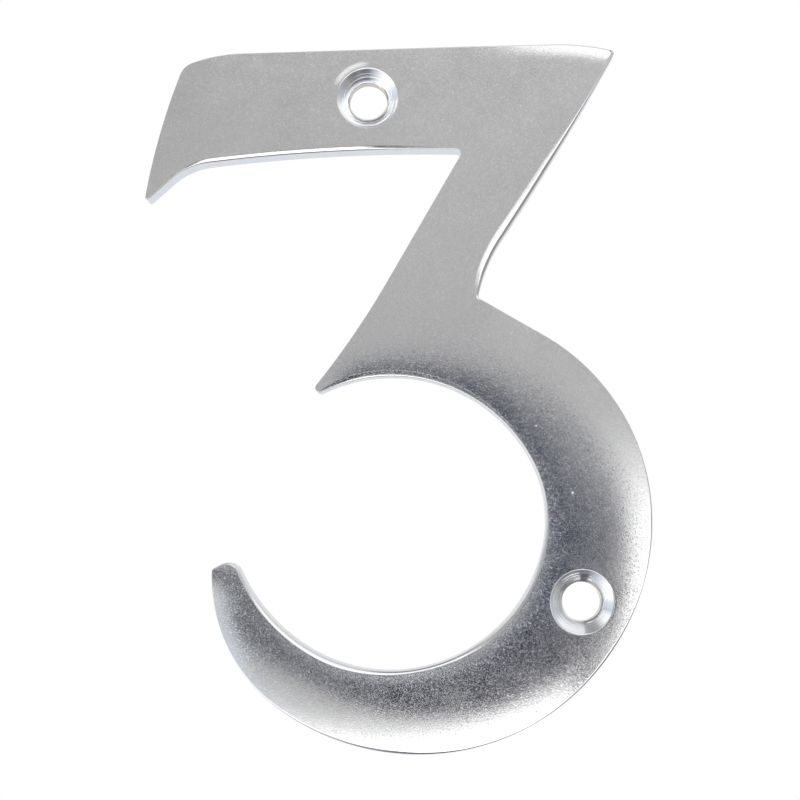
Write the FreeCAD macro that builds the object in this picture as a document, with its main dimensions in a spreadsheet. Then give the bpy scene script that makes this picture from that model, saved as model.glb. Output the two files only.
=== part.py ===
"""Cast door numeral 3: one flat piece with a straight top bar, a slanting stroke, a round bowl and two
countersunk screw holes. Millimetres. X is right and Z is up on the door, the front faces -Y, and the flat
back lies on Y = 0. The origin is on the back, halfway between the two screw holes."""
import FreeCAD, Part
import math
import os
import Sketcher

# Every size: alias, value, what it is. Places on the bar are measured from the upper screw hole, and places
# on the bowl from the centre of the opening's lower curve, which lies behind the lower screw hole.
SIZES = (
    ("thickness", 2.3, "back face to front face"),
    ("hole_across", 21.6, "screw hole to screw hole, sideways"),
    ("hole_rise", 55.1, "screw hole to screw hole, upwards"),
    ("bore", 4.1, "diameter of the screw holes"),
    ("sink_width", 6.7, "diameter of the countersinks at the front face"),
    ("sink_angle", 90, "full angle of the countersinks, degrees"),
    ("sink_round", 0.15, "rounding of the countersinks' rims"),
    ("edge_round", 0.25, "rounding of the front face's edge"),
    ("top_above", 5.45, "top edge, above the upper hole"),
    ("top_left_out", 20.3, "top left corner, left of the upper hole"),
    ("top_left_above", 4.2, "top left corner, above the upper hole"),
    ("top_left_bend", 18, "radius where the top edge falls to the left corner"),
    ("top_left_round", 2.2, "rounding of the top left corner"),
    ("top_right_out", 27.25, "top right corner, right of the upper hole"),
    ("top_right_above", 4.5, "top right corner, above the upper hole"),
    ("top_right_bend", 24, "radius where the top edge falls to the right corner"),
    ("top_right_round", 0.4, "rounding of the top right corner"),
    ("end_bow", 72, "radius of the bar's slightly bowed left end"),
    ("end_lean", 4.37, "lowest point of the bar's left end, left of the top left corner"),
    ("toe_below", 11.1, "lowest point of the bar's left end, below the upper hole"),
    ("toe_slope", 41, "rise of the cut under the toe, degrees"),
    ("toe_bend", 7.5, "radius from that cut into the bar's underside"),
    ("toe_round", 0.25, "rounding of the toe"),
    ("under_below", 5.85, "crown of the bar's underside, below the upper hole"),
    ("under_right", 0.8, "crown of the bar's underside, right of the upper hole"),
    ("under_bow", 190, "radius of the bar's underside"),
    ("stroke_head", 16.87, "inner corner to top right corner, sideways"),
    ("stroke_width", 8.45, "stroke, square across where its right edge turns down"),
    ("stroke_bow", 330, "radius of the stroke's slightly bowed right edge"),
    ("inner_round", 0.5, "rounding of the corner between bar and stroke"),
    ("sweep_rise", 13.15, "height over which the stroke's left edge sweeps out to the tip"),
    ("sweep_bend", 90, "radius of that sweep"),
    ("tip_left", 9.43, "tip where stroke and bowl part, left of the bowl's centre"),
    ("tip_above", 11.55, "tip where stroke and bowl part, above the bowl's centre"),
    ("tip_round", 0.5, "rounding of that tip"),
    ("hole_land", 5.68, "opening's lower curve to the centre of the lower hole"),
    ("hole_bearing", 26.1, "fall from the bowl's centre to the lower hole, degrees"),
    ("bowl_radius", 16.7, "radius of the opening's lower curve"),
    ("side_below", 4.3, "where the opening's right side starts, below the bowl's centre"),
    ("side_radius", 13.5, "radius of the opening's right side"),
    ("roof_above", 5.5, "where the opening's upper curve starts, above the bowl's centre"),
    ("lead_left", 9.6, "where the opening runs out to the tail, left of the bowl's centre"),
    ("lead_radius", 19, "radius of the opening where it runs out"),
    ("tail_below", 5.7, "outer corner of the tail, below the bowl's centre"),
    ("tail_width", 2.66, "length of the tail's cut end"),
    ("tail_slope", 25, "rise of the tail's cut end, degrees"),
    ("tail_inner_round", 1.4, "rounding of the tail's inner corner"),
    ("tail_outer_round", 0.4, "rounding of the tail's outer corner"),
    ("bowl_width", 8.25, "outer lower curve's radius less the opening's"),
    ("belly_right", 2.85, "centre of the outer lower curve, right of the bowl's centre"),
    ("belly_below", 0.35, "centre of the outer lower curve, below the bowl's centre"),
    ("heel_left", 15.05, "where the outer curve tightens, left of its centre"),
    ("flank_below", 4.95, "where the outer curve's right side starts, below its centre"),
    ("flank_radius", 22.7, "radius of the outer curve at the right"),
    ("shoulder_slope", 31.2, "fall of the straight shoulder, degrees"),
    ("notch_rise", 6.45, "height over which the stroke's right edge turns down into the notch"),
    ("notch_bend", 18, "radius of that turn"),
    ("notch_round", 0.6, "rounding of the notch between stroke and shoulder"),
)
VALUE = {alias: number for alias, number, note in SIZES}
ORIGIN = (-1, 1)                # a sketch's own origin, as an element and a point on it
START, END, CENTRE = range(1, 4)    # a sketch element's points


def make_sheet(doc):
    """Write every size into a spreadsheet, with its alias and what it is."""
    sheet = doc.addObject("Spreadsheet::Sheet", "Sizes")
    for row, (alias, number, note) in enumerate(SIZES, start=1):
        sheet.set(f"A{row}", alias)
        sheet.set(f"B{row}", str(number))
        sheet.set(f"C{row}", note)
        sheet.setAlias(f"B{row}", alias)
    doc.recompute()
    return sheet


def upright_sketch(body, name, forward=None):
    """A sketch on the body's own upright plane, or as far in front of it as the named size says."""
    sketch = body.newObject("Sketcher::SketchObject", name)
    plane = next(item for item in body.Origin.OriginFeatures if item.Role == "XZ_Plane")
    sketch.AttachmentSupport = [(plane, "")]
    sketch.MapMode = "FlatFace"
    if forward:
        sketch.setExpression("AttachmentOffset.Base.z", f"Sizes.{forward}")
    return sketch


def bind(sketch, kind, *places, size, plus=None, turned=None):
    """Add a dimension and tie it to a cell of the sheet, or to the sum of two. A slope is turned into a
    heading, anticlockwise from the right, by the degrees and the sign before it."""
    number = VALUE[size]
    formula = f"Sizes.{size}"
    if plus:
        number += VALUE[plus]
        formula += f" + Sizes.{plus}"
    if turned:
        start, sign = turned.split()
        number = int(start) + (number if sign == "+" else -number)
        formula = f"{turned} {formula}"
    if kind == "Angle":
        number = math.radians(number)
    index = sketch.addConstraint(Sketcher.Constraint(kind, *places, number))
    sketch.renameConstraint(index, size)
    sketch.setExpression(f"Constraints.{size}", formula)


def hole_pair(sketch, draw, point, construction=False):
    """Two elements, one with its point on each screw hole's centre, either side of the origin."""
    aside, rise = VALUE["hole_across"] / 2, VALUE["hole_rise"] / 2
    centres = [FreeCAD.Vector(-aside, rise, 0), FreeCAD.Vector(aside, -rise, 0)]
    upper, lower = [sketch.addGeometry(draw(centre), construction) for centre in centres]
    sketch.addConstraint(Sketcher.Constraint("Symmetric", upper, point, lower, point, *ORIGIN))
    bind(sketch, "DistanceX", upper, point, lower, point, size="hole_across")
    bind(sketch, "DistanceY", lower, point, upper, point, size="hole_rise")
    return upper, lower


class Outline:
    """Draws the outline's lines and arcs end to end from roughly placed points, anticlockwise."""

    def __init__(self, sketch, start):
        self.sketch, self.here = sketch, FreeCAD.Vector(*start, 0)
        self.index, self.last, self.tail = {}, None, None

    def join(self, name, shape, head, tail, smooth):
        """Add one element; smooth makes it run on tangent from the element before."""
        number = self.sketch.addGeometry(shape, False)
        self.index[name] = number
        if self.last is not None:
            kind = "Tangent" if smooth else "Coincident"
            self.sketch.addConstraint(Sketcher.Constraint(kind, self.last, self.tail, number, head))
        self.last, self.tail = number, tail

    def line(self, name, end, smooth=True):
        end = FreeCAD.Vector(*end, 0)
        self.join(name, Part.LineSegment(self.here, end), START, END, smooth)
        self.here = end

    def arc(self, name, end, radius, left=True, smooth=True, free=False):
        """An arc that turns left, or right where the outline is hollow. A free arc only starts from the
        radius: what it joins settles the rest."""
        end = FreeCAD.Vector(*end, 0)
        chord = end - self.here
        rise = math.sqrt(max(VALUE[radius] ** 2 - chord.Length ** 2 / 4, 0))
        side = FreeCAD.Vector(-chord.y, chord.x, 0).normalize() * (rise if left else -rise)
        centre = (self.here + end) * 0.5 + side
        first, second = (self.here, end) if left else (end, self.here)
        turn = [math.atan2(point.y - centre.y, point.x - centre.x) for point in (first, second)]
        circle = Part.Circle(centre, FreeCAD.Vector(0, 0, 1), VALUE[radius])
        shape = Part.ArcOfCircle(circle, turn[0], turn[1] if turn[1] > turn[0] else turn[1] + 2 * math.pi)
        self.join(name, shape, START if left else END, END if left else START, smooth)
        if not free:
            bind(self.sketch, "Radius", self.index[name], size=radius)
        self.here = end

    def close(self, name, head):
        self.sketch.addConstraint(Sketcher.Constraint("Coincident", self.last, self.tail,
                                                      self.index[name], head))


def bowl_centre():
    """The centre of the opening's lower curve, up a slope from the lower screw hole."""
    reach = VALUE["hole_land"] + VALUE["bowl_radius"]
    bearing = math.radians(VALUE["hole_bearing"])
    return FreeCAD.Vector(VALUE["hole_across"] / 2 - reach * math.cos(bearing),
                          reach * math.sin(bearing) - VALUE["hole_rise"] / 2, 0)


def draw_outline(sketch):
    """The outline's elements by name, from the top left corner down the bar's end and round again. Their
    ends are rough, from the upper hole on the bar and from the bowl's centre below it: size_outline pulls
    them to size."""
    hub = bowl_centre()

    def bar(x, z):
        return x - VALUE["hole_across"] / 2, z + VALUE["hole_rise"] / 2

    def bowl(x, z):
        return x + hub.x, z + hub.y

    outline = Outline(sketch, bar(-20.4, 4.0))
    outline.arc("end", bar(-24.7, -11.1), "end_bow")
    outline.line("toe", bar(-21.3, -8.2), smooth=False)
    outline.arc("toe_hollow", bar(-18.0, -6.8), "toe_bend", left=False)
    outline.arc("underside", bar(10.4, -6.1), "under_bow", left=False)
    outline.line("stroke_left", bowl(0.1, 24.7), smooth=False)
    outline.arc("sweep", bowl(-9.4, 11.6), "sweep_bend", left=False)
    outline.arc("roof", bowl(15.0, 5.5), "bowl_radius", left=False, smooth=False, free=True)
    outline.arc("side", bowl(16.1, -4.3), "side_radius", left=False)
    outline.arc("floor", bowl(-9.6, -13.7), "bowl_radius", left=False)
    outline.arc("lead", bowl(-16.5, -4.6), "lead_radius", left=False)
    outline.line("tail", bowl(-19.0, -5.7), smooth=False)
    outline.arc("heel", bowl(-12.2, -20.3), "bowl_radius", smooth=False, free=True)
    outline.arc("belly", bowl(27.3, -5.3), "flank_radius", free=True)
    outline.arc("flank", bowl(16.8, 18.6), "flank_radius")
    outline.line("shoulder", bowl(10.0, 22.8))
    outline.arc("notch", bowl(12.8, 29.2), "notch_bend", left=False, smooth=False)
    outline.arc("stroke_right", bar(27.3, 4.5), "stroke_bow")
    outline.arc("top_right", bar(20.6, 5.4), "top_right_bend", smooth=False)
    outline.line("top", bar(-14.6, 5.4))
    outline.arc("top_left", bar(-20.4, 4.0), "top_left_bend")
    outline.close("end", START)
    return outline.index


def size_outline(sketch, part):
    """Fix the outline with dimensions: the bar from the upper screw hole, and all below from the centre of
    the bowl, which a spoke ties to the lower one."""
    upper, lower = hole_pair(sketch, Part.Point, START, construction=True)
    spoke = sketch.addGeometry(Part.LineSegment(bowl_centre(), sketch.getPoint(lower, START)), True)
    sketch.addConstraint(Sketcher.Constraint("Coincident", spoke, START, part["floor"], CENTRE))
    sketch.addConstraint(Sketcher.Constraint("Coincident", spoke, END, lower, START))
    sketch.addConstraint(Sketcher.Constraint("Horizontal", part["top"]))

    def place(element, point):
        return part[element], point

    hole, centre, belly = (upper, START), place("floor", CENTRE), place("belly", CENTRE)
    tip, head = place("sweep", START), place("stroke_right", END)
    sideways = (
        ("top_left_out", place("end", START), hole),
        ("end_lean", place("toe", START), place("end", START)),
        ("under_right", hole, place("underside", CENTRE)),
        ("top_right_out", hole, head),
        ("stroke_head", place("underside", START), head),
        ("tip_left", tip, centre),
        ("lead_left", place("lead", END), centre),
        ("belly_right", centre, belly),
        ("heel_left", place("heel", END), belly),
    )
    upwards = (
        ("top_above", hole, place("top", START)),
        ("top_left_above", hole, place("end", START)),
        ("toe_below", place("toe", START), hole),
        ("top_right_above", hole, head),
        ("sweep_rise", tip, place("sweep", END)),
        ("tip_above", centre, tip),
        ("side_below", place("side", START), centre),
        ("roof_above", centre, place("roof", START)),
        ("tail_below", place("tail", END), centre),
        ("belly_below", belly, centre),
        ("flank_below", place("flank", START), belly),
        ("notch_rise", place("notch", END), place("notch", START)),
    )
    for kind, rows in (("DistanceX", sideways), ("DistanceY", upwards)):
        for size, first, second in rows:
            bind(sketch, kind, *first, *second, size=size)
    bind(sketch, "DistanceY", *place("underside", CENTRE), *hole, size="under_below", plus="under_bow")
    bind(sketch, "Distance", spoke, size="hole_land", plus="bowl_radius")
    bind(sketch, "Radius", part["belly"], size="bowl_width", plus="bowl_radius")
    bind(sketch, "Distance", part["tail"], size="tail_width")
    bind(sketch, "Distance", *place("notch", START), part["stroke_left"], size="stroke_width")
    bind(sketch, "Angle", spoke, size="hole_bearing", turned="360 -")
    bind(sketch, "Angle", part["toe"], size="toe_slope")
    bind(sketch, "Angle", part["tail"], size="tail_slope", turned="180 +")
    bind(sketch, "Angle", part["shoulder"], size="shoulder_slope", turned="180 -")


def upright_edge(shape, near):
    """The name of the upright corner edge closest to a corner of the outline, given as x and z."""
    def gap(edge):
        middle = edge.CenterOfMass
        return math.hypot(middle.x - near.x, middle.z - near.y)
    straight = [(gap(edge), number) for number, edge in enumerate(shape.Edges, start=1)
                if isinstance(edge.Curve, Part.Line) and abs(edge.tangentAt(edge.FirstParameter).y) > 0.99]
    return f"Edge{min(straight)[1]}"


def front_edges(shape, front, wanted):
    """Names of the edges that lie in the front plane and pass the test."""
    names = []
    for number, edge in enumerate(shape.Edges, start=1):
        box = edge.BoundBox
        if abs(box.YMin - front) < 1e-6 and abs(box.YMax - front) < 1e-6 and wanted(edge):
            names.append(f"Edge{number}")
    return names


def is_rim(edge):
    """True for a whole circle, as a screw hole's rim is."""
    return isinstance(edge.Curve, Part.Circle) and edge.isClosed()


def add_fillet(body, base, edges, size):
    """Round the named edges of the last feature by a size, which also names the fillet."""
    fillet = body.newObject("PartDesign::Fillet", size)
    fillet.Base = (base, edges)
    fillet.setExpression("Radius", f"Sizes.{size}")
    body.Document.recompute()
    return fillet


def make_plate(body):
    """The plate: a pad of the outline with each of its eight corners rounded."""
    sketch = upright_sketch(body, "Outline")
    part = draw_outline(sketch)
    size_outline(sketch, part)
    body.Document.recompute()

    last = body.newObject("PartDesign::Pad", "Plate")
    last.Profile = sketch
    last.setExpression("Length", "Sizes.thickness")
    body.Document.recompute()

    corners = {
        "top_left_round": ("end", START),
        "toe_round": ("toe", START),
        "inner_round": ("stroke_left", START),
        "tip_round": ("sweep", START),
        "tail_inner_round": ("tail", START),
        "tail_outer_round": ("tail", END),
        "notch_round": ("shoulder", END),
        "top_right_round": ("stroke_right", END),
    }
    for size, (element, point) in corners.items():
        corner = sketch.getPoint(part[element], point)
        last = add_fillet(body, last, [upright_edge(last.Shape, corner)], size)
    return last


def make_screw_holes(body, plate):
    """Two countersunk holes through the plate, from the front."""
    centres = upright_sketch(body, "HoleCentres", forward="thickness")
    forward, radius = FreeCAD.Vector(0, 0, 1), VALUE["bore"] / 2
    upper, lower = hole_pair(centres, lambda centre: Part.Circle(centre, forward, radius), CENTRE)
    centres.addConstraint(Sketcher.Constraint("Equal", upper, lower))
    bind(centres, "Diameter", upper, size="bore")
    body.Document.recompute()

    solid = plate.Shape.Volume
    holes = body.newObject("PartDesign::Hole", "ScrewHoles")
    holes.Profile = centres
    body.Document.recompute()
    holes.DepthType = "ThroughAll"
    holes.Threaded = False
    holes.HoleCutType = "Countersink"
    holes.HoleCutCustomValues = True
    holes.setExpression("Diameter", "Sizes.bore")
    holes.setExpression("HoleCutDiameter", "Sizes.sink_width")
    holes.setExpression("HoleCutCountersinkAngle", "Sizes.sink_angle")
    body.Document.recompute()
    if holes.Shape.Volume >= solid:
        raise RuntimeError("the screw holes point away from the plate")
    return holes


def make_numeral(doc):
    """The numeral: the plate, its screw holes, and the rounding of every edge on the front."""
    body = doc.addObject("PartDesign::Body", "Numeral")
    body.Label = "numeral_three"
    holes = make_screw_holes(body, make_plate(body))
    front = -VALUE["thickness"]
    last = add_fillet(body, holes, front_edges(holes.Shape, front, is_rim), "sink_round")
    outer = front_edges(last.Shape, front, lambda edge: not is_rim(edge))
    add_fillet(body, last, outer, "edge_round")
    return body


def check(doc):
    """Stop if any object failed or any solid is bad."""
    for item in doc.Objects:
        if "Invalid" in item.State or "Error" in item.State:
            raise RuntimeError(f"{item.Label} failed: {item.State}")
    for sketch in doc.findObjects("Sketcher::SketchObject"):
        if not sketch.FullyConstrained:
            raise RuntimeError(f"{sketch.Label} isn't fully constrained")


def main():
    doc = FreeCAD.newDocument("DoorNumeral")
    make_sheet(doc)
    numeral = make_numeral(doc)
    check(doc)
    shape = numeral.Shape
    if shape.isNull() or not shape.isValid() or len(shape.Solids) != 1:
        raise RuntimeError("the numeral isn't one valid solid")
    os.makedirs("parts", exist_ok=True)
    shape.exportStep(f"parts/{numeral.Label}.step")
    box = shape.optimalBoundingBox()
    print(f"{numeral.Label}: {box.XLength:.2f} x {box.YLength:.2f} x {box.ZLength:.2f} mm,"
          f" {shape.Volume:.0f} mm3, {len(shape.Faces)} faces")


main()
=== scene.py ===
"""A screw-fixed door number: the figure three, one flat casting, polished and satin chromed."""
import math

import bmesh
import bpy
import numpy as np
from mathutils import Matrix, Vector
from mathutils.geometry import delaunay_2d_cdt


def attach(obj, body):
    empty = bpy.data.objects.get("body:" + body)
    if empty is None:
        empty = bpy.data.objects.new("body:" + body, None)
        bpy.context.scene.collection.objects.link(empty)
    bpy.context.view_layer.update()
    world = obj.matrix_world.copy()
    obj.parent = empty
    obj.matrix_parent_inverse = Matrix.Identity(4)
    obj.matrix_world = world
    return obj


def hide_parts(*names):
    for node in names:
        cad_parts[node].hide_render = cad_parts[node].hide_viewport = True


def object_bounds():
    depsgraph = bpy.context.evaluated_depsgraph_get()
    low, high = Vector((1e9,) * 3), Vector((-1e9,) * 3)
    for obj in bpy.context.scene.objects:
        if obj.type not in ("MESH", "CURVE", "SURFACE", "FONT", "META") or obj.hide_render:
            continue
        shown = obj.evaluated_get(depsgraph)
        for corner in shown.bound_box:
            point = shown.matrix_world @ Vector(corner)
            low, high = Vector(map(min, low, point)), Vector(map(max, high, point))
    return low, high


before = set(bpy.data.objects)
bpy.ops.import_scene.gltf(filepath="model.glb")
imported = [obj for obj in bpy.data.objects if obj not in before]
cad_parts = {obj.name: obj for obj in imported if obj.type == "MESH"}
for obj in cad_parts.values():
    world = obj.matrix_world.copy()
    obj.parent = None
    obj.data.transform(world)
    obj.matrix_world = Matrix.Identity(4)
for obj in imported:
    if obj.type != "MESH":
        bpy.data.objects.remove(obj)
cad_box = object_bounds()

# Units: the plate is worked out in millimetres, x to the right and z up, and laid down in metres
MM = 0.001
NODE = "numeral_three"
FRONT = cad_box[0].y / MM
BACK = cad_box[1].y / MM

# Countersunk screw holes, as drilled
SINK_RADIUS = 3.35
SEAM_DEPTH = 0.35
HOLE_SIDES = 96
# Rims of the two countersinks, ring by ring as (reach outwards, depth): as drilled, and worn bright, which
# the lower one is round two bearings in degrees, each with its span
NEW_RIM = ((0.06, 0.0), (0.04, 0.002), (0.02, 0.008), (0.0, 0.018), (-0.02, 0.031), (-0.045, 0.045))
BRIGHT_RIM = ((0.2, 0.0), (0.14, 0.006), (0.08, 0.018), (0.02, 0.036), (-0.04, 0.062), (-0.09, 0.09))
BRIGHT_AT = ((-122, 62), (-12, 56))
# Painted highlight beside the upper hole, a pale arc on the upper left of its rim: inner and outer radius,
# middle bearing and spread in degrees
PAINTED_HIGHLIGHT = (3.62, 4.02, 122, 26)
# Painted dark reflections in the upper part of the lower hole's cone: inner and outer radius, middle bearing
# and spread in degrees, and strength
PAINTED_DARK_REFLECTIONS = ((2.1, 3.0, 83, 9, 0.85), (2.0, 2.6, 132, 22, 0.5))

# Edge left by the polishing wheel, at places met in turn round the outline: x, z, radius of the rounding, and
# width and depth of the sloping band between it and the face
EDGE_WEAR = (
    (3.46, 11.5, 0.5, 0.5, 0.065),
    (8.7, 19.4, 0.5, 0.32, 0.05),
    (12.6, 25.6, 0.26, 0.15, 0.01),
    (13.8, 27.5, 0.2, 0.06, 0),
    (16.2, 31.7, 0.2, 0.06, 0),
    (12.3, 32.9, 0.2, 0.06, 0),
    (2.0, 33.0, 0.08, 0.06, 0),
    (-24.5, 33.0, 0.06, 0.06, 0),
    (-31.1, 31.7, 0.06, 0.06, 0),
    (-34.7, 20.4, 0.06, 0.06, 0),
    (-35.3, 17.3, 0.06, 0.06, 0),
    (-34.6, 17.2, 0.1, 0.06, 0),
    (-32.6, 19.0, 0.1, 0.06, 0),
    (-31.0, 20.2, 0.1, 0.12, 0.01),
    (-28.4, 20.8, 0.22, 0.28, 0.085),
    (-12.0, 21.6, 0.22, 0.3, 0.09),
    (-7.0, 21.6, 0.12, 0.3, 0.03),
    (-2.0, 21.5, 0.08, 0.06, 0),
    (-0.8, 21.0, 0.06, 0.06, 0),
    (-9.1, 7.0, 0.06, 0.06, 0),
    (-16.9, -4.0, 0.06, 0.06, 0),
    (-16.4, -4.8, 0.08, 0.1, 0),
    (-13.0, -3.8, 0.1, 0.55, 0.05),
    (-4.0, -3.8, 0.1, 0.55, 0.04),
    (3.0, -8.0, 0.12, 0.3, 0.01),
    (5.7, -12.2, 0.15, 0.1, 0),
    (7.2, -20.2, 0.25, 0.1, 0),
    (5.7, -25.8, 0.3, 0.14, 0.03),
    (0.3, -32.0, 0.28, 0.3, 0.11),
    (-3.5, -33.3, 0.25, 0.15, 0.045),
    (-7.2, -33.8, 0.25, 0.12, 0.03),
    (-15.3, -33.2, 0.3, 0.32, 0.13),
    (-23.2, -27.8, 0.28, 0.26, 0.115),
    (-25.8, -23.6, 0.22, 0.15, 0.05),
    (-27.2, -22.9, 0.12, 0.06, 0),
    (-28.2, -23.5, 0.08, 0.06, 0),
    (-27.3, -30.1, 0.08, 0.06, 0),
    (-22.5, -37.0, 0.15, 0.06, 0),
    (-15.6, -41.3, 0.3, 0.06, 0),
    (-9.0, -43.0, 0.42, 0.06, 0),
    (-2.0, -42.2, 0.2, 0.06, 0),
    (5.0, -39.7, 0.1, 0.06, 0),
    (13.5, -33.2, 0.3, 0.06, 0),
    (16.9, -26.0, 0.1, 0.06, 0),
    (18.4, -19.2, 0.26, 0.06, 0),
    (16.8, -11.5, 0.06, 0.06, 0),
    (7.5, 0.9, 0.06, 0.06, 0),
    (1.1, 4.8, 0.06, 0.06, 0),
    (0.8, 5.4, 0.3, 0.3, 0.05),
    (1.4, 7.6, 0.5, 0.42, 0.075),
)
BAND_STEEPNESS = 1.05
BAND_MARGIN = 0.04

# Crown of the face along stretches of the outline: two ends, fall at the edge, reach inwards, steepness,
# and the length over which it comes in at each end
CROWNS = (
    ((-16.3, -4.8), (-25.3, -23.6), 0.078, 5.8, 3.2, (5, 5)),
    ((-28.2, -23.5), (1.1, 4.8), 0.162, 5.3, 2.3, (4, 5)),
    ((0.8, 5.6), (16.2, 31.9), 0.08, 2.0, 2.2, (0.6, 26)),
    ((-2.0, 33.0), (16.3, 32.2), 0.11, 2.1, 2.0, (17, 0.3)),
)

# Mesh density in mm
OUTLINE_STEP = 0.25
FINE_STEP = 0.3
BROAD_STEP = 0.6
BACK_STEP = 3.0
FINE_BAND = 1.6
ROUND_STEPS = 5
BAND_STEPS = 4
BACK_ROUND = 0.08
# An edge that turns further than this, in radians, is shaded as a sharp one
SHARP_TURN = 0.9


# Outline, read from the frame

def back_rims(mesh):
    """Each closed line where a wall meets the flat back, longest first, as points in mm."""
    links = {}
    for face in mesh.polygons:
        corners = [mesh.vertices[i].co for i in face.vertices]
        touching = [i for i in range(3) if abs(corners[i].y / MM - BACK) < 0.001]
        if len(touching) != 2 or abs(face.normal.y) > 0.7:
            continue
        first, second = touching if touching != [0, 2] else (2, 0)
        start, end = ((round(corners[i].x, 8), round(corners[i].z, 8)) for i in (first, second))
        links[start] = end
    rims = []
    while links:
        spot = next(iter(links))
        points = []
        while spot in links:
            points.append(spot)
            spot = links.pop(spot)
        rims.append(np.array(points) / MM)
    return sorted(rims, key=lambda rim: -np.ptp(rim, axis=0).sum())


def tangent_angles(points):
    """Direction of travel at each point, where even steps of one arc turn by the same angle."""
    chords = np.roll(points, -1, axis=0) - points
    headings = np.arctan2(chords[:, 1], chords[:, 0])
    lengths = np.linalg.norm(chords, axis=1)
    turns = (headings - np.roll(headings, 1) + math.pi) % math.tau - math.pi
    even = np.abs(lengths / np.roll(lengths, 1) - 1) < 0.15
    half_turns = np.where(even, turns, 0) / 2
    arriving = np.roll(headings + half_turns, 1)
    leaving = headings - np.roll(half_turns, -1)
    return arriving + ((leaving - arriving + math.pi) % math.tau - math.pi) / 2


def smooth_outline(points, step):
    """The closed outline as an even curve, a cubic between each two known points, and its outward directions.
    It keeps within the outermost of the known points."""
    x, z = points.T
    if (x * np.roll(z, -1) - z * np.roll(x, -1)).sum() < 0:
        points = points[::-1]
    angles = tangent_angles(points)
    along = np.stack((np.cos(angles), np.sin(angles)), axis=1)
    places, slopes = [], []
    for here in range(len(points)):
        start, end = points[here], points[(here + 1) % len(points)]
        length = np.linalg.norm(end - start)
        leave, arrive = along[here] * length, along[(here + 1) % len(points)] * length
        count = max(1, round(length / step))
        share = (np.arange(count) / count)[:, None]
        places.append(
            (2 * share**3 - 3 * share**2 + 1) * start
            + (share**3 - 2 * share**2 + share) * leave
            + (3 * share**2 - 2 * share**3) * end
            + (share**3 - share**2) * arrive
        )
        slopes.append(
            (6 * share**2 - 6 * share) * (start - end)
            + (3 * share**2 - 4 * share + 1) * leave
            + (3 * share**2 - 2 * share) * arrive
        )
    travel = np.concatenate(slopes)
    travel /= np.linalg.norm(travel, axis=1, keepdims=True)
    places = np.clip(np.concatenate(places), points.min(axis=0), points.max(axis=0))
    return places, np.stack((travel[:, 1], -travel[:, 0]), axis=1)


def run_lengths(points):
    """Distance along a closed outline to each point, and its whole length."""
    steps = np.linalg.norm(np.roll(points, -1, axis=0) - points, axis=1)
    reached = np.concatenate(([0.0], np.cumsum(steps)))
    return reached[:-1], reached[-1]


def nearest_index(points, place):
    return int(np.argmin(np.linalg.norm(points - np.array(place), axis=1)))


def spread_round(points, stations):
    """Values given at places on the outline, spread evenly along it from each place to the next."""
    reached, whole = run_lengths(points)
    known = sorted((reached[nearest_index(points, (x, z))], value) for x, z, value in stations)
    at = [known[-1][0] - whole] + [run for run, _ in known] + [known[0][0] + whole]
    values = [known[-1][1]] + [value for _, value in known] + [known[0][1]]
    return np.interp(reached, at, values)


def stretch(points, ends):
    """The part of the outline between two places, the shorter way round."""
    first, last = (nearest_index(points, end) for end in ends)
    ways = (
        np.arange(first, last if last > first else last + len(points)) % len(points),
        np.arange(last, first if first > last else first + len(points)) % len(points),
    )
    return points[min(ways, key=len)]


def distance_to_line(places, line):
    """Distance from each place to an open line of points, and how far along the line the nearest spot is."""
    starts, ends = line[:-1], line[1:]
    spans = ends - starts
    sizes = (spans**2).sum(axis=1)
    reached = np.concatenate(([0.0], np.cumsum(np.sqrt(sizes))))[:-1]
    distance = np.empty(len(places))
    run = np.empty(len(places))
    for low in range(0, len(places), 2000):
        part = places[low:low + 2000, None, :]
        share = np.clip(((part - starts) * spans).sum(axis=2) / sizes, 0, 1)
        gaps = np.linalg.norm(part - starts - share[..., None] * spans, axis=2)
        pick = gaps.argmin(axis=1)
        rows = np.arange(len(pick))
        distance[low:low + 2000] = gaps[rows, pick]
        run[low:low + 2000] = reached[pick] + share[rows, pick] * np.sqrt(sizes[pick])
    return distance, run


# Face height

def smooth_share(value):
    share = np.clip(value, 0, 1)
    return share * share * (3 - 2 * share)


class Crown:
    """How far the face has been polished down, in mm, near some of its edges."""

    def __init__(self, outline):
        self.edges = []
        for first, last, *shape in CROWNS:
            line = stretch(outline, (first, last))
            if np.linalg.norm(line[0] - first) > np.linalg.norm(line[0] - last):
                line = line[::-1]
            self.edges.append((line, shape))

    def fall(self, places):
        total = np.zeros(len(places))
        for line, (depth, reach, steepness, (start, end)) in self.edges:
            distance, run = distance_to_line(places, line)
            whole = np.linalg.norm(np.diff(line, axis=0), axis=1).sum()
            fade = smooth_share(run / start) * smooth_share((whole - run) / end)
            total += depth * fade * np.clip(1 - distance / reach, 0, 1) ** steepness
        return total


# Plate

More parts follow.
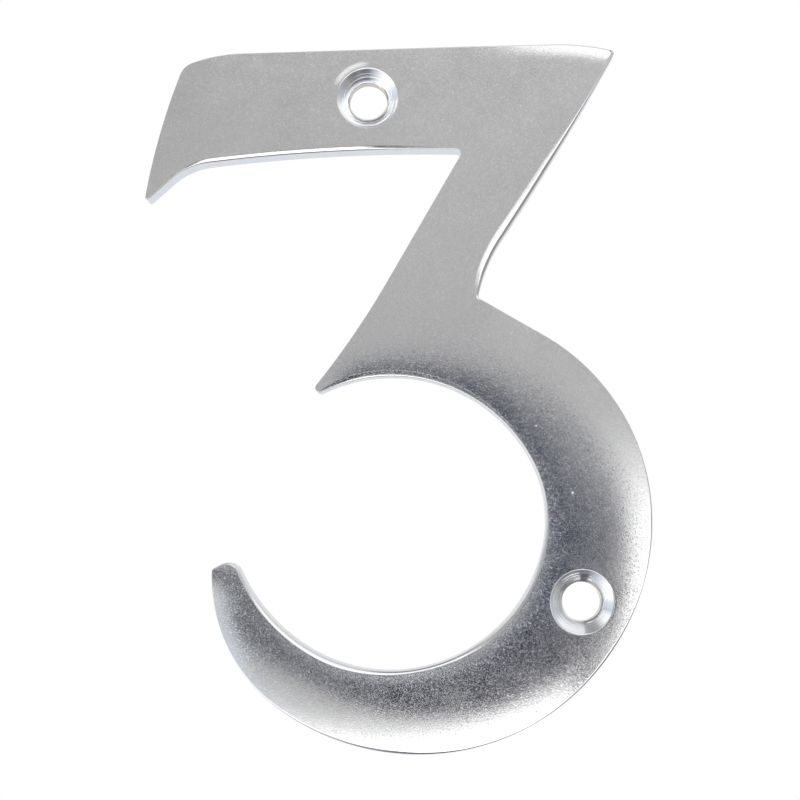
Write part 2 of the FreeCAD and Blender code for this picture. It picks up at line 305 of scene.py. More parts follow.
class Sheet:
    """Vertices and faces of the plate as they are added."""

    def __init__(self):
        self.places = []
        self.faces = []
        self.kinds = []

    def add(self, points, depths):
        """Points in x and z with their depths, as new vertices. Gives their numbers."""
        first = len(self.places)
        depths = np.broadcast_to(depths, len(points))
        self.places.extend((x * MM, y * MM, z * MM) for (x, z), y in zip(points, depths))
        return np.arange(first, len(self.places))

    def band(self, upper, lower, kind):
        """Quads between two rings of the same count."""
        for here in range(len(upper)):
            there = (here + 1) % len(upper)
            self.faces.append((upper[here], upper[there], lower[there], lower[here]))
            self.kinds.append(kind)

    def fill(self, rim, holes, inner, kind):
        """Triangles over the ground between the rim and the hole rings, through the inner vertices."""
        rings = [rim, *holes]
        numbers = np.concatenate([*rings, inner]).astype(int)
        flat = [Vector((self.places[n][0] / MM, self.places[n][2] / MM)) for n in numbers]
        links, first = [], 0
        for ring in rings:
            links += [(first + i, first + (i + 1) % len(ring)) for i in range(len(ring))]
            first += len(ring)
        found = delaunay_2d_cdt(flat, links, [], 1, 1e-6)
        triangles, sources = found[2], found[3]
        lids = [set(ring) for ring in holes]
        for triangle in triangles:
            face = tuple(int(numbers[sources[i][0]]) for i in triangle)
            if not any(lid.issuperset(face) for lid in lids):
                self.faces.append(face)
                self.kinds.append(kind)


def edge_rings(sheet, outline, outward, wear, crown):
    """Rounded rim and wall of the outer outline. Gives the ring on the face and the ring on the back."""
    radius, width, depth = wear
    crease = np.arctan(BAND_STEEPNESS * depth / width)
    rings = []
    for share in np.linspace(0, 1, ROUND_STEPS + 1):
        turn = (math.pi / 2 - crease) * share
        inset = radius * (1 - np.cos(turn))
        points = outline - outward * inset[:, None]
        level = FRONT + crown.fall(points) + depth + radius * (np.cos(crease) - np.sin(turn))
        rings.append(sheet.add(points, level))
    rounded = inset
    for share in np.linspace(0, 1, BAND_STEPS + 1)[1:]:
        points = outline - outward * (rounded + width * share)[:, None]
        rings.append(sheet.add(points, FRONT + crown.fall(points) + depth * (1 - share) ** BAND_STEEPNESS))
    points = outline - outward * (rounded + width + BAND_MARGIN)[:, None]
    rings.append(sheet.add(points, FRONT + crown.fall(points)))
    for upper, lower in zip(rings[1:], rings[:-1]):
        sheet.band(upper, lower, "face")
    top = np.array([sheet.places[n][1] / MM for n in rings[0]])
    wall = [rings[0]]
    for share in (0.05, 0.35, 0.65, 0.95):
        wall.append(sheet.add(outline, top + (BACK - BACK_ROUND - top) * share))
    for turn in np.linspace(0, math.pi / 2, 4):
        points = outline - outward * BACK_ROUND * (1 - math.cos(turn))
        wall.append(sheet.add(points, BACK - BACK_ROUND * (1 - math.sin(turn))))
    for upper, lower in zip(wall[:-1], wall[1:]):
        sheet.band(upper, lower, "wall")
    return rings[-1], wall[-1]


def hole_circle(centre, radii):
    """Points round a screw hole, where radii may differ from point to point."""
    angles = np.arange(HOLE_SIDES) * math.tau / HOLE_SIDES
    return np.array(centre) + np.stack((np.cos(angles), np.sin(angles)), axis=1) * np.reshape(radii, (-1, 1))


def soft_peak(bearings, middle, span):
    """1 at the middle bearing, falling softly to 0 at the span to each side."""
    off = (bearings - middle + 180) % 360 - 180
    return np.cos(np.clip(off / span, -1, 1) * math.pi / 2) ** 2


def rim_shapes(centre):
    """Reach and depth of a countersink's rim, ring by ring and point to point."""
    bearings = np.arange(HOLE_SIDES) * 360 / HOLE_SIDES
    shapes = np.repeat(np.array(NEW_RIM)[:, :, None], HOLE_SIDES, axis=2)
    for middle, span in BRIGHT_AT if centre[1] < 0 else ():
        shapes += (np.array(BRIGHT_RIM) - np.array(NEW_RIM))[:, :, None] * soft_peak(bearings, middle, span)
    return shapes


def sink_rings(sheet, centre, crown):
    """Rounded rim of one countersink, down to the seam with the drilled cone. Gives the ring on the face."""
    shapes = rim_shapes(centre)
    sharp = np.full(HOLE_SIDES, SINK_RADIUS)
    for _ in range(3):
        fall = crown.fall(hole_circle(centre, sharp))
        sharp = SINK_RADIUS - fall
    start = sharp + shapes[0, 0] + 0.05
    rings = [sheet.add(hole_circle(centre, start), FRONT + crown.fall(hole_circle(centre, start)))]
    for reach, depth in shapes:
        points = hole_circle(centre, sharp + reach)
        rings.append(sheet.add(points, FRONT + crown.fall(points) + depth))
    seam = np.full(HOLE_SIDES, SINK_RADIUS - SEAM_DEPTH)
    rings.append(sheet.add(hole_circle(centre, seam), FRONT + SEAM_DEPTH))
    for number, (upper, lower) in enumerate(zip(rings[:-1], rings[1:])):
        sheet.band(upper, lower, "sink" if number == len(shapes) else "face")
    return rings[0], float(start.max())


def honeycomb(outline, step):
    """Evenly spaced points over the outline's box, each row shifted by half a step."""
    low, high = outline.min(axis=0), outline.max(axis=0)
    rows = np.arange(low[1], high[1], step * math.sqrt(3) / 2)
    spots = [
        (x, z)
        for number, z in enumerate(rows)
        for x in np.arange(low[0] + (number % 2) * step / 2, high[0], step)
    ]
    return np.array(spots)


def inside(places, outline):
    """Which places lie inside the closed outline, by the crossings to their right."""
    start, end = outline, np.roll(outline, -1, axis=0)
    held = np.zeros(len(places), bool)
    for (x0, z0), (x1, z1) in zip(start, end):
        spans = (z0 > places[:, 1]) != (z1 > places[:, 1])
        reach = x0 + (places[:, 1] - z0) * (x1 - x0) / np.where(z1 == z0, 1, z1 - z0)
        held ^= spans & (places[:, 0] < reach)
    return held


def face_spots(outline, wear, centres, rims):
    """Inner points of the face: close together along the edges, further apart in the middle."""
    closed = np.vstack((outline, outline[:1]))
    reached, _ = run_lengths(outline)
    radius, width, _ = wear
    kept = []
    for step, low, high in ((FINE_STEP, 0.0, FINE_BAND), (BROAD_STEP, FINE_BAND, math.inf)):
        spots = honeycomb(outline, step)
        spots = spots[inside(spots, outline)]
        distance, run = distance_to_line(spots, closed)
        local = np.interp(run, reached, radius + width)
        to_holes = [np.linalg.norm(spots - np.array(c), axis=1) - r for c, r in zip(centres, rims)]
        to_hole = np.min(to_holes, axis=0)
        nearest = np.minimum(distance, to_hole)
        keep = (nearest >= low) & (nearest < high)
        keep &= (distance > local + BAND_MARGIN + step * 0.6) & (to_hole > step * 0.6)
        kept.append(spots[keep])
    return np.concatenate(kept)


def make_plate():
    """The plate without its drilled cones, with the holes' centres and the bore's radius."""
    rims = back_rims(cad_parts[NODE].data)
    outline, outward = smooth_outline(rims[0], OUTLINE_STEP)
    wear = [
        spread_round(outline, [(x, z, sizes[which]) for x, z, *sizes in EDGE_WEAR])
        for which in range(3)
    ]
    crown = Crown(outline)
    sheet = Sheet()
    face_rim, back_rim = edge_rings(sheet, outline, outward, wear, crown)
    centres = [tuple(rim.mean(axis=0)) for rim in rims[1:]]
    bore = float(np.linalg.norm(rims[1] - rims[1].mean(axis=0), axis=1).mean())
    sinks = [sink_rings(sheet, centre, crown) for centre in centres]
    spots = face_spots(outline, wear, centres, [radius for _, radius in sinks])
    inner = sheet.add(spots, FRONT + crown.fall(spots))
    sheet.fill(face_rim, [ring for ring, _ in sinks], inner, "face")
    bores = [sheet.add(hole_circle(centre, bore), BACK) for centre in centres]
    spots = honeycomb(outline, BACK_STEP)
    far = distance_to_line(spots, np.vstack((outline, outline[:1])))[0] > BACK_STEP * 0.4
    far &= np.min([np.linalg.norm(spots - np.array(c), axis=1) for c in centres], axis=0) > bore + 1
    spots = spots[far & inside(spots, outline)]
    inner = sheet.add(spots, BACK)
    sheet.fill(back_rim, bores, inner, "back")
    return sheet, centres, bore


# Drilled countersinks, one tree for both

def add_input(tree, name, kind, value=None):
    socket = tree.interface.new_socket(name=name, in_out="INPUT", socket_type=kind)
    if value is not None:
        socket.default_value = value
    return socket


class Bench:
    """Places nodes in a tree and joins them."""

    def __init__(self, tree):
        self.tree = tree

    def node(self, kind, settings=None, **inputs):
        made = self.tree.nodes.new(kind)
        for name, value in (settings or {}).items():
            setattr(made, name, value)
        for name, value in inputs.items():
            self.join(value, self.find(made, name))
        return made

    def find(self, node, name):
        if name.startswith("at_"):
            return node.inputs[int(name[3:])]
        wanted = name.replace("_", " ").lower()
        return next(s for s in node.inputs if s.enabled and s.name.lower() == wanted)

    def join(self, value, socket):
        if isinstance(value, bpy.types.NodeSocket):
            self.tree.links.new(value, socket)
        elif isinstance(value, bpy.types.Node):
            self.tree.links.new(value.outputs[0], socket)
        else:
            socket.default_value = value

    def work_out(self, kind, *values):
        """A Math node of that kind over the values."""
        made = self.tree.nodes.new("ShaderNodeMath")
        made.operation = kind
        for value, socket in zip(values, made.inputs):
            self.join(value, socket)
        return made.outputs[0]

    def add(self, first, second):
        return self.work_out("ADD", first, second)

    def less(self, first, second):
        return self.work_out("SUBTRACT", first, second)

    def times(self, first, second):
        return self.work_out("MULTIPLY", first, second)

    def over(self, first, second):
        return self.work_out("DIVIDE", first, second)

    def apart(self, first, second):
        """The vector from the second place to the first."""
        return self.node("ShaderNodeVectorMath", {"operation": "SUBTRACT"}, at_0=first, at_1=second)

    def length(self, vector):
        return self.node("ShaderNodeVectorMath", {"operation": "LENGTH"}, at_0=vector).outputs["Value"]

    def ramp(self, value, low, high, start=0.0, end=1.0, smooth=False):
        """The value carried evenly, or softly, from between low and high to between start and end."""
        made = self.tree.nodes.new("ShaderNodeMapRange")
        made.interpolation_type = "SMOOTHSTEP" if smooth else "LINEAR"
        for part, socket in zip((value, low, high, start, end), made.inputs):
            self.join(part, socket)
        return made.outputs[0]


def countersink_tree():
    """A drilled cone and bore, lathed round each point given, with the drill's turned rings."""
    tree = bpy.data.node_groups.new("countersink", "GeometryNodeTree")
    add_input(tree, "Geometry", "NodeSocketGeometry")
    tree.interface.new_socket(name="Geometry", in_out="OUTPUT", socket_type="NodeSocketGeometry")
    add_input(tree, "Seam radius", "NodeSocketFloat")
    add_input(tree, "Bore radius", "NodeSocketFloat")
    add_input(tree, "Seam level", "NodeSocketFloat")
    add_input(tree, "Back level", "NodeSocketFloat")
    add_input(tree, "Sides", "NodeSocketInt")
    add_input(tree, "Rows", "NodeSocketInt")
    add_input(tree, "Cone share", "NodeSocketFloat")
    add_input(tree, "Lip share", "NodeSocketFloat")
    add_input(tree, "Turned rings", "NodeSocketFloat")
    add_input(tree, "Ring depth", "NodeSocketFloat")
    add_input(tree, "Seed", "NodeSocketFloat")
    add_input(tree, "Finish", "NodeSocketMaterial")
    bench = Bench(tree)
    given = tree.nodes.new("NodeGroupInput").outputs
    size = bench.node(
        "GeometryNodeMeshGrid",
        Size_X=1.0,
        Size_Y=1.0,
        Vertices_X=bench.add(given["Sides"], 1.0),
        Vertices_Y=given["Rows"],
    )
    place = bench.node("ShaderNodeSeparateXYZ", Vector=bench.node("GeometryNodeInputPosition"))
    angle = bench.times(bench.add(place.outputs[0], 0.5), math.tau)
    down = bench.add(place.outputs[1], 0.5)
    cone = bench.ramp(down, 0.0, given["Cone share"])
    bore = bench.ramp(down, given["Cone share"], 1.0)
    shoulder = bench.add(given["Seam level"], bench.less(given["Seam radius"], given["Bore radius"]))
    radius = bench.ramp(cone, 0.0, 1.0, given["Seam radius"], given["Bore radius"])
    straight = bench.times(cone, bench.less(1.0, given["Lip share"]))
    dropped = bench.add(straight, bench.times(bench.work_out("POWER", cone, 5.0), given["Lip share"]))
    level = bench.ramp(dropped, 0.0, 1.0, given["Seam level"], shoulder)
    level = bench.add(level, bench.times(bore, bench.less(given["Back level"], shoulder)))
    lines = bench.node(
        "ShaderNodeTexNoise",
        {"noise_dimensions": "1D"},
        W=bench.add(bench.times(cone, given["Turned rings"]), given["Seed"]),
        Scale=1.0,
        Detail=1.0,
    )
    ends = bench.times(bench.times(cone, bench.less(1.0, cone)), 4.0)
    ends = bench.work_out("MINIMUM", bench.times(ends, 3.0), 1.0)
    mark = bench.times(bench.less(lines.outputs[0], 0.5), given["Ring depth"])
    mark = bench.times(mark, ends)
    radius = bench.add(radius, mark)
    level = bench.add(level, mark)
    spot = bench.node(
        "ShaderNodeCombineXYZ",
        X=bench.times(radius, bench.work_out("COSINE", angle)),
        Y=level,
        Z=bench.times(radius, bench.work_out("SINE", angle)),
    )
    lathed = bench.node("GeometryNodeSetPosition", Geometry=size.outputs[0], Position=spot)
    joined = bench.node("GeometryNodeMergeByDistance", Geometry=lathed, Distance=1e-7)
    placed = bench.node("GeometryNodeInstanceOnPoints", Points=given["Geometry"], Instance=joined)
    real = bench.node("GeometryNodeRealizeInstances", Geometry=placed)
    finished = bench.node("GeometryNodeSetMaterial", Geometry=real, Material=given["Finish"])
    out = tree.nodes.new("NodeGroupOutput")
    tree.links.new(finished.outputs[0], out.inputs[0])
    return tree


def set_inputs(modifier, values):
    """Sets a Geometry Nodes modifier's inputs by their names, through each socket's identifier."""
    for item in modifier.node_group.interface.items_tree:
        if item.item_type == "SOCKET" and item.in_out == "INPUT" and item.name in values:
            modifier[item.identifier] = values[item.name]


def plain_mesh(thing):
    """The evaluated mesh of an object with live modifiers, which is then removed."""
    graph = bpy.context.evaluated_depsgraph_get()
    mesh = bpy.data.meshes.new_from_object(thing.evaluated_get(graph), depsgraph=graph)
    bpy.data.objects.remove(thing)
    return mesh


def drilled_cones(centres, bore, finish):
    """Both countersinks and bores below their seams, as one plain mesh."""
    spots = bpy.data.meshes.new("hole_centres")
    spots.from_pydata([(x * MM, 0, z * MM) for x, z in centres], [], [])
    thing = bpy.data.objects.new("hole_centres", spots)
    bpy.context.scene.collection.objects.link(thing)
    modifier = thing.modifiers.new("countersink", "NODES")
    modifier.node_group = countersink_tree()
    set_inputs(modifier, {
        "Seam radius": (SINK_RADIUS - SEAM_DEPTH) * MM,
        "Bore radius": bore * MM,
        "Seam level": (FRONT + SEAM_DEPTH) * MM,
        "Back level": BACK * MM,
        "Sides": HOLE_SIDES,
        "Rows": 61,
        "Cone share": 0.8,
        "Lip share": 0.16,
        "Turned rings": 9.0,
        "Ring depth": 0.02 * MM,
        "Seed": 4.0,
        "Finish": finish,
    })
    return plain_mesh(thing)


def make_numeral():
    """The plate and its drilled holes as one closed mesh."""
    sheet, centres, bore = make_plate()
    metals = finishes(centres)
    kinds = list(metals)
    mesh = bpy.data.meshes.new("numeral_three_dressed")
    mesh.from_pydata(sheet.places, [], [[int(i) for i in face] for face in sheet.faces])
    for name in kinds:
        mesh.materials.append(metals[name])
    mesh.polygons.foreach_set("material_index", [kinds.index(kind) for kind in sheet.kinds])
    cones = drilled_cones(centres, bore, metals["sink"])
    shoulder = FRONT + SINK_RADIUS - bore
    steps = ["bore" if face.center.y / MM > shoulder else "sink" for face in cones.polygons]
    cones.polygons.foreach_set("material_index", [kinds.index(step) for step in steps])
    shape = bmesh.new()
    shape.from_mesh(mesh)
    shape.from_mesh(cones)
    bmesh.ops.remove_doubles(shape, verts=shape.verts[:], dist=0.0005 * MM)
    bmesh.ops.recalc_face_normals(shape, faces=shape.faces[:])
    for face in shape.faces:
        face.smooth = True
    for edge in shape.edges:
        edge.smooth = edge.calc_face_angle(0) < SHARP_TURN
    shape.to_mesh(mesh)
    shape.free()
    numeral = bpy.data.objects.new("numeral_three_dressed", mesh)
    bpy.context.scene.collection.objects.link(numeral)
    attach(numeral, "root")
    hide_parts(NODE)
    return numeral


# Finishes

def value_group(name, inputs, outputs):
    """An empty shader node group that puts out only colours, masks, values and normals."""
    group = bpy.data.node_groups.new(name, "ShaderNodeTree")
    for label, kind, value in inputs:
        add_input(group, label, kind, value)
    for label, kind in outputs:
        group.interface.new_socket(name=label, in_out="OUTPUT", socket_type=kind)
    return group


def put_out(group, *values):
    out = group.nodes.new("NodeGroupOutput")
    for value, socket in zip(values, out.inputs):
        group.links.new(value, socket)


def satin_group():
    """Fine satin of blasted metal: a height in metres from soft grain and small tilted facets, a mask of
    cloudy patches, and a mask of a few open pits."""
    group = value_group(
        "satin_grain",
        [
            ("Place", "NodeSocketVector", None),
            ("Grain size", "NodeSocketFloat", 0.00016),
            ("Grain depth", "NodeSocketFloat", 0.000002),
            ("Facet size", "NodeSocketFloat", 0.0001),
            ("Facet tilt", "NodeSocketFloat", 0.1),
            ("Patch size", "NodeSocketFloat", 0.004),
            ("Pit share", "NodeSocketFloat", 0.02),
        ],
        [
            ("Height", "NodeSocketFloat"),
            ("Patches", "NodeSocketFloat"),
            ("Pits", "NodeSocketFloat"),
            ("Specks", "NodeSocketFloat"),
        ],
    )
    bench = Bench(group)
    given = group.nodes.new("NodeGroupInput").outputs
    per_grain = bench.over(1.0, given["Grain size"])
    fine = bench.node("ShaderNodeTexNoise", Vector=given["Place"], Scale=per_grain, Detail=1.0)
    soft = bench.times(fine.outputs[0], given["Grain depth"])
    facets = bench.node(
        "ShaderNodeTexVoronoi", Vector=given["Place"], Scale=bench.over(1.0, given["Facet size"])
    )
    off = bench.apart(given["Place"], facets.outputs["Position"])
    chance = bench.node("ShaderNodeTexWhiteNoise", Vector=facets.outputs["Position"])
    lean = bench.apart(chance.outputs["Color"], (0.5, 0.5, 0.5))
    rise = bench.node("ShaderNodeVectorMath", {"operation": "DOT_PRODUCT"}, at_0=off, at_1=lean)
    tilt = bench.times(bench.work_out("POWER", chance.outputs["Value"], 1.4), given["Facet tilt"])
    sharp = bench.times(rise.outputs["Value"], tilt)
    broad = bench.node(
        "ShaderNodeTexNoise",
        Vector=given["Place"],
        Scale=bench.over(1.0, given["Patch size"]),
        Detail=3.0,
    )
    cells = bench.node("ShaderNodeTexVoronoi", Vector=given["Place"], Scale=1400.0)
    chosen = bench.node("ShaderNodeTexWhiteNoise", Vector=cells.outputs["Position"])
    open_cell = bench.work_out("LESS_THAN", chosen.outputs["Value"], given["Pit share"])
    pit = bench.times(open_cell, bench.ramp(cells.outputs["Distance"], 0.12, 0.3, 1.0, 0.0, smooth=True))
    height = bench.less(bench.add(soft, sharp), bench.times(pit, 0.000002))
    put_out(group, height, broad.outputs[0], pit, fine.outputs[0])
    return group


def drag_group():
    """Marks that run across a cut wall from front to back: a height and a mask."""
    group = value_group(
        "drag_lines",
        [
            ("Place", "NodeSocketVector", None),
            ("Line spacing", "NodeSocketFloat", 0.0002),
            ("Line length", "NodeSocketFloat", 0.004),
        ],
        [("Height", "NodeSocketFloat"), ("Streaks", "NodeSocketFloat")],
    )
    bench = Bench(group)
    given = group.nodes.new("NodeGroupInput").outputs
    place = bench.node("ShaderNodeSeparateXYZ", Vector=given["Place"])
    across = bench.over(1.0, given["Line spacing"])
    along = bench.over(1.0, given["Line length"])
    stretched = bench.node(
        "ShaderNodeCombineXYZ",
        X=bench.times(place.outputs[0], across),
        Y=bench.times(place.outputs[1], along),
        Z=bench.times(place.outputs[2], across),
    )
    lines = bench.node("ShaderNodeTexNoise", Vector=stretched, Scale=1.0, Detail=3.0)
    streaks = bench.node("ShaderNodeTexNoise", Vector=stretched, Scale=0.2, Detail=2.0)
    put_out(group, lines.outputs[0], streaks.outputs[0])
    return group


def metal(name, base):
    """A metallic material with its own bench, its shader and the object's coordinates."""
    material = bpy.data.materials.new(name)
    material.use_nodes = True
    bench = Bench(material.node_tree)
    shader = material.node_tree.nodes["Principled BSDF"]
    shader.inputs["Base Color"].default_value = (*base, 1)
    shader.inputs["Metallic"].default_value = 1.0
    place = material.node_tree.nodes.new("ShaderNodeTexCoord").outputs["Object"]
    return material, bench, shader, place


def grouped(bench, group, **inputs):
    """The shared effect placed in this material, with its own values."""
    made = bench.tree.nodes.new("ShaderNodeGroup")
    made.node_tree = group
    for name, value in inputs.items():
        bench.join(value, bench.find(made, name))
    return made


def broken_arc_group():
    """A soft-edged arc round a centre in the plate's plane, broken into fine concentric lines. It masks the
    painted highlight and the painted dark reflections round the holes.
    """
    group = value_group(
        "broken_arc",
        [
            ("Place", "NodeSocketVector", None),
            ("Centre", "NodeSocketVector", None),
            ("Inner", "NodeSocketFloat", 0.0035),
            ("Outer", "NodeSocketFloat", 0.004),
            ("Softness", "NodeSocketFloat", 0.0002),
            ("Bearing", "NodeSocketFloat", 2.0),
            ("Spread", "NodeSocketFloat", 0.5),
        ],
        [("Mask", "NodeSocketFloat")],
    )
    bench = Bench(group)
    given = group.nodes.new("NodeGroupInput").outputs
    off = bench.apart(given["Place"], given["Centre"])
    part = bench.node("ShaderNodeSeparateXYZ", Vector=off)
    flat = bench.node("ShaderNodeCombineXYZ", X=part.outputs[0], Z=part.outputs[2])
    radius = bench.length(flat)
    bearing = bench.work_out("ARCTAN2", part.outputs[2], part.outputs[0])
    turned = bench.work_out("ABSOLUTE", bench.less(bearing, given["Bearing"]))
    from_inner = bench.over(bench.less(radius, given["Inner"]), given["Softness"])
    from_outer = bench.over(bench.less(given["Outer"], radius), given["Softness"])
    past_inner = bench.ramp(from_inner, -1.0, 1.0, smooth=True)
    across = bench.times(past_inner, bench.ramp(from_outer, -1.0, 1.0, smooth=True))
    along = bench.ramp(bench.over(turned, given["Spread"]), 0.6, 1.5, 1.0, 0.0, smooth=True)
    ring_lines = bench.node(
        "ShaderNodeTexNoise", {"noise_dimensions": "1D"}, W=radius, Scale=9000.0, Detail=2.0
    )
    broken = bench.ramp(ring_lines.outputs[0], 0.3, 0.55, 0.7, 1.0)
    put_out(group, bench.times(bench.times(across, along), broken))
    return group


def lay_over(bench, shader, mask, colour, roughness):
    """Another colour and roughness over what the shader has so far, where the mask is 1."""
    for name, over in (("Base Color", colour), ("Roughness", roughness)):
        socket = shader.inputs[name]
        under = socket.links[0].from_socket
        if name == "Base Color":
            bench.join(blend_colour(bench, mask, under, over), socket)
        else:
            bench.join(bench.add(bench.times(bench.less(over, under), mask), under), socket)


def arc_mask(bench, place, group, centre, inner, outer, bearing, spread):
    """Mask of one arc round a hole, from radii in mm and bearings in degrees."""
    x, z = centre
    arc = grouped(
        bench,
        group,
        Place=place,
        Centre=(x * MM, 0, z * MM),
        Inner=inner * MM,
        Outer=outer * MM,
        Bearing=math.radians(bearing),
        Spread=math.radians(spread),
    )
    return arc.outputs[0]


def painted_highlight(bench, shader, place, group, centre):
    """Painted highlight beside the upper hole: a pale, matt arc broken into fine lines."""
    lay_over(bench, shader, arc_mask(bench, place, group, centre, *PAINTED_HIGHLIGHT), (1.0, 1.0, 1.0), 0.75)


def painted_dark_reflection(bench, shader, place, group, centre):
    """Painted dark reflections in the upper part of the lower hole's cone."""
    for *shape, strength in PAINTED_DARK_REFLECTIONS:
        arc = arc_mask(bench, place, group, centre, *shape)
        # near-black colour laid on as painted dark reflection
        lay_over(bench, shader, bench.times(arc, strength), (0.1, 0.095, 0.09), 0.4)


def satin_metal(name, groups, base, roughness, depth, tilt, pit_share):
    """Satin chrome: grain and facets as relief, colour and roughness that drift a little, and a few pits."""
    material, bench, shader, place = metal(name, base)
    grain = grouped(
        bench, groups["satin"], Place=place, Grain_depth=depth * MM, Facet_tilt=tilt, Pit_share=pit_share
    )
    clouds = bench.ramp(grain.outputs["Patches"], 0.3, 0.7)
    specks = bench.ramp(grain.outputs["Specks"], 0.3, 0.7)
    drift = bench.add(bench.times(clouds, 0.4), bench.times(specks, 0.6))
    shades = [tuple(part * share for part in base) for share in (0.95, 1.05)]
    bench.join(blend_colour(bench, drift, *shades), shader.inputs["Base Color"])
    patches = bench.ramp(clouds, 0.0, 1.0, roughness - 0.02, roughness + 0.02)
    bench.join(bench.add(patches, bench.times(grain.outputs["Pits"], 0.3)), shader.inputs["Roughness"])
    bump = bench.node("ShaderNodeBump", Strength=1.0, Distance=1.0, Height=grain.outputs["Height"])
    bench.join(bump, shader.inputs["Normal"])
    return material, bench, shader, place


def wall_metal(name, groups, base, roughness, relief):
    """Chrome over the cut wall: drag marks from front to back."""
    material, bench, shader, place = metal(name, base)
    drag = grouped(bench, groups["drag"], Place=place)
    bench.join(
        bench.ramp(drag.outputs["Streaks"], 0.3, 0.7, roughness - 0.05, roughness + 0.1),
        shader.inputs["Roughness"],
    )
    bump = bench.node("ShaderNodeBump", Strength=1.0, Distance=relief * MM, Height=drag.outputs["Height"])
    bench.join(bump, shader.inputs["Normal"])
    return material


def finishes(centres):
    """The metal of each surface. Depths of grain and relief are in mm."""
    groups = {"satin": satin_group(), "drag": drag_group()}
    upper, lower = sorted(centres, key=lambda centre: -centre[1])
    face, *parts = satin_metal(
        "satin_face", groups, base=(0.72, 0.72, 0.725), roughness=0.13,
        depth=0.002, tilt=0.055, pit_share=0.004,
    )
    arcs = broken_arc_group()
    # painted highlight on the face, on the upper left of the upper hole's rim
    painted_highlight(*parts, arcs, upper)
    sink, *parts = satin_metal(
        "turned_sink", groups, base=(0.9, 0.91, 0.93), roughness=0.13, depth=0.0004, tilt=0.0, pit_share=0.0
    )
    # painted dark reflections in the lower hole's cone
    painted_dark_reflection(*parts, arcs, lower)
    back, *_ = satin_metal(
        "flat_back", groups, base=(0.66, 0.66, 0.67), roughness=0.3, depth=0.003, tilt=0.1, pit_share=0.02
    )
    return {
        "face": face,
        # The cut wall's base is paler and bluer than the face's chrome: a painted reflection of the pale,
        # bluish surroundings.
        "wall": wall_metal("cut_wall", groups, base=(0.83, 0.88, 0.95), roughness=0.22, relief=0.002),
        "back": back,
        "sink": sink,
        "bore": wall_metal("drilled_bore", groups, base=(0.68, 0.64, 0.61), roughness=0.25, relief=0.002),
    }


# Studio

# Where the camera stands in metres, and where the plate's forward direction meets the picture in pixels
CAMERA_PLACE = Vector((-0.00398, -0.13939, -0.01996))
VANISHING_POINT = (440.0, 532.0)
IMAGE_MIDDLE = 400.0
IMAGE_SIZE = 800.0
FOCAL_PIXELS = 1290.0
CAMERA_ROLL = math.radians(1.15)


def make_camera():
    """The camera, from the pixel where the plate's own forward direction meets the picture."""
    forward = Vector((*((p - IMAGE_MIDDLE) / FOCAL_PIXELS for p in VANISHING_POINT), 1)).normalized()
    level = (Vector((1, 0, 0)) - forward * forward.x).normalized()
    upright = forward.cross(level)
    if upright.y > 0:
        upright = -upright
    across = level * math.cos(CAMERA_ROLL) + upright * math.sin(CAMERA_ROLL)
    above = upright * math.cos(CAMERA_ROLL) - level * math.sin(CAMERA_ROLL)
    right, down, ahead = (Vector((across[i], forward[i], above[i])) for i in range(3))
    turn = Matrix((right, -down, -ahead)).transposed().to_4x4()
    data = bpy.data.cameras.new("camera")
    data.sensor_width = 36.0
    data.lens = FOCAL_PIXELS / IMAGE_SIZE * data.sensor_width
    data.clip_start = 0.001
    camera = bpy.data.objects.new("camera", data)
    camera.matrix_world = Matrix.Translation(CAMERA_PLACE) @ turn
    bpy.context.scene.collection.objects.link(camera)
    bpy.context.scene.camera = camera


# What the face mirrors, by the slope of the mirrored ray to the right and upwards of straight ahead
WALL_LIGHT = 0.605
WALL_SHADE = 0.47
BEHIND_LIGHT = 0.82
PANEL_LIGHT = dict(level=1.5, above=0.46, softness=0.08, end=-0.42)
TABLE_LIGHT = dict(level=2.2, edge=-0.22, tilt=0.34, softness=0.17)
WINDOW_LIGHT = dict(level=1.85, edge=0.2, tilt=-0.1, softness=0.12, top=0.06, top_softness=0.19)
# What stands round the plate, level with it: bearing in degrees from the right, and colour
BESIDE = (
    (-180, (0.88, 0.93, 1.0)),
    (-167, (1.4, 1.4, 1.4)),
    (-148, (1.4, 1.4, 1.4)),
    (-128, (1.0, 1.0, 1.02)),
    (-112, (0.58, 0.62, 0.68)),
    (-97, (0.25, 0.26, 0.3)),
    (-84, (0.2, 0.2, 0.24)),
    (-70, (0.3, 0.29, 0.3)),
    (-54, (0.22, 0.22, 0.24)),
    (-40, (0.28, 0.28, 0.3)),
    (-28, (0.4, 0.4, 0.4)),
    (-12, (0.42, 0.42, 0.44)),
    (0, (0.5, 0.52, 0.56)),
    (12, (0.56, 0.59, 0.63)),
    (22, (0.72, 0.74, 0.77)),
    (34, (1.05, 1.06, 1.08)),
    (84, (0.95, 0.95, 0.95)),
    (90, (0.42, 0.42, 0.42)),
    (104, (0.36, 0.36, 0.36)),
    (116, (0.42, 0.42, 0.42)),
    (126, (0.8, 0.8, 0.78)),
    (138, (1.15, 1.15, 1.15)),
    (152, (1.15, 1.15, 1.15)),
    (162, (0.68, 0.72, 0.82)),
    (172, (0.82, 0.87, 0.95)),
    (180, (0.88, 0.93, 1.0)),
)
# Dark and pale shapes round the camera: right, up, half width, half height, softness, turn and colour
SHAPES = (
    (0.005, 0.005, 0.125, 0.095, 0.12, 0.07, (0.03, 0.04, 0.085)),
    (0.05, -0.12, 0.15, 0.055, 0.14, -0.17, (0.01, 0.01, 0.035)),
    (-0.17, -0.075, 0.085, 0.045, 0.28, 0.18, (0.04, 0.05, 0.08)),
    (-0.315, -0.215, 0.065, 0.215, 0.38, 0.13, (0.9, 0.97, 1.05)),
    (0.185, -0.12, 0.05, 0.155, 0.15, 0.26, (0.12, 0.12, 0.13)),
    (-0.03, -0.025, 0.05, 0.02, 0.13, 0.0, (1.45, 1.48, 1.5)),
)


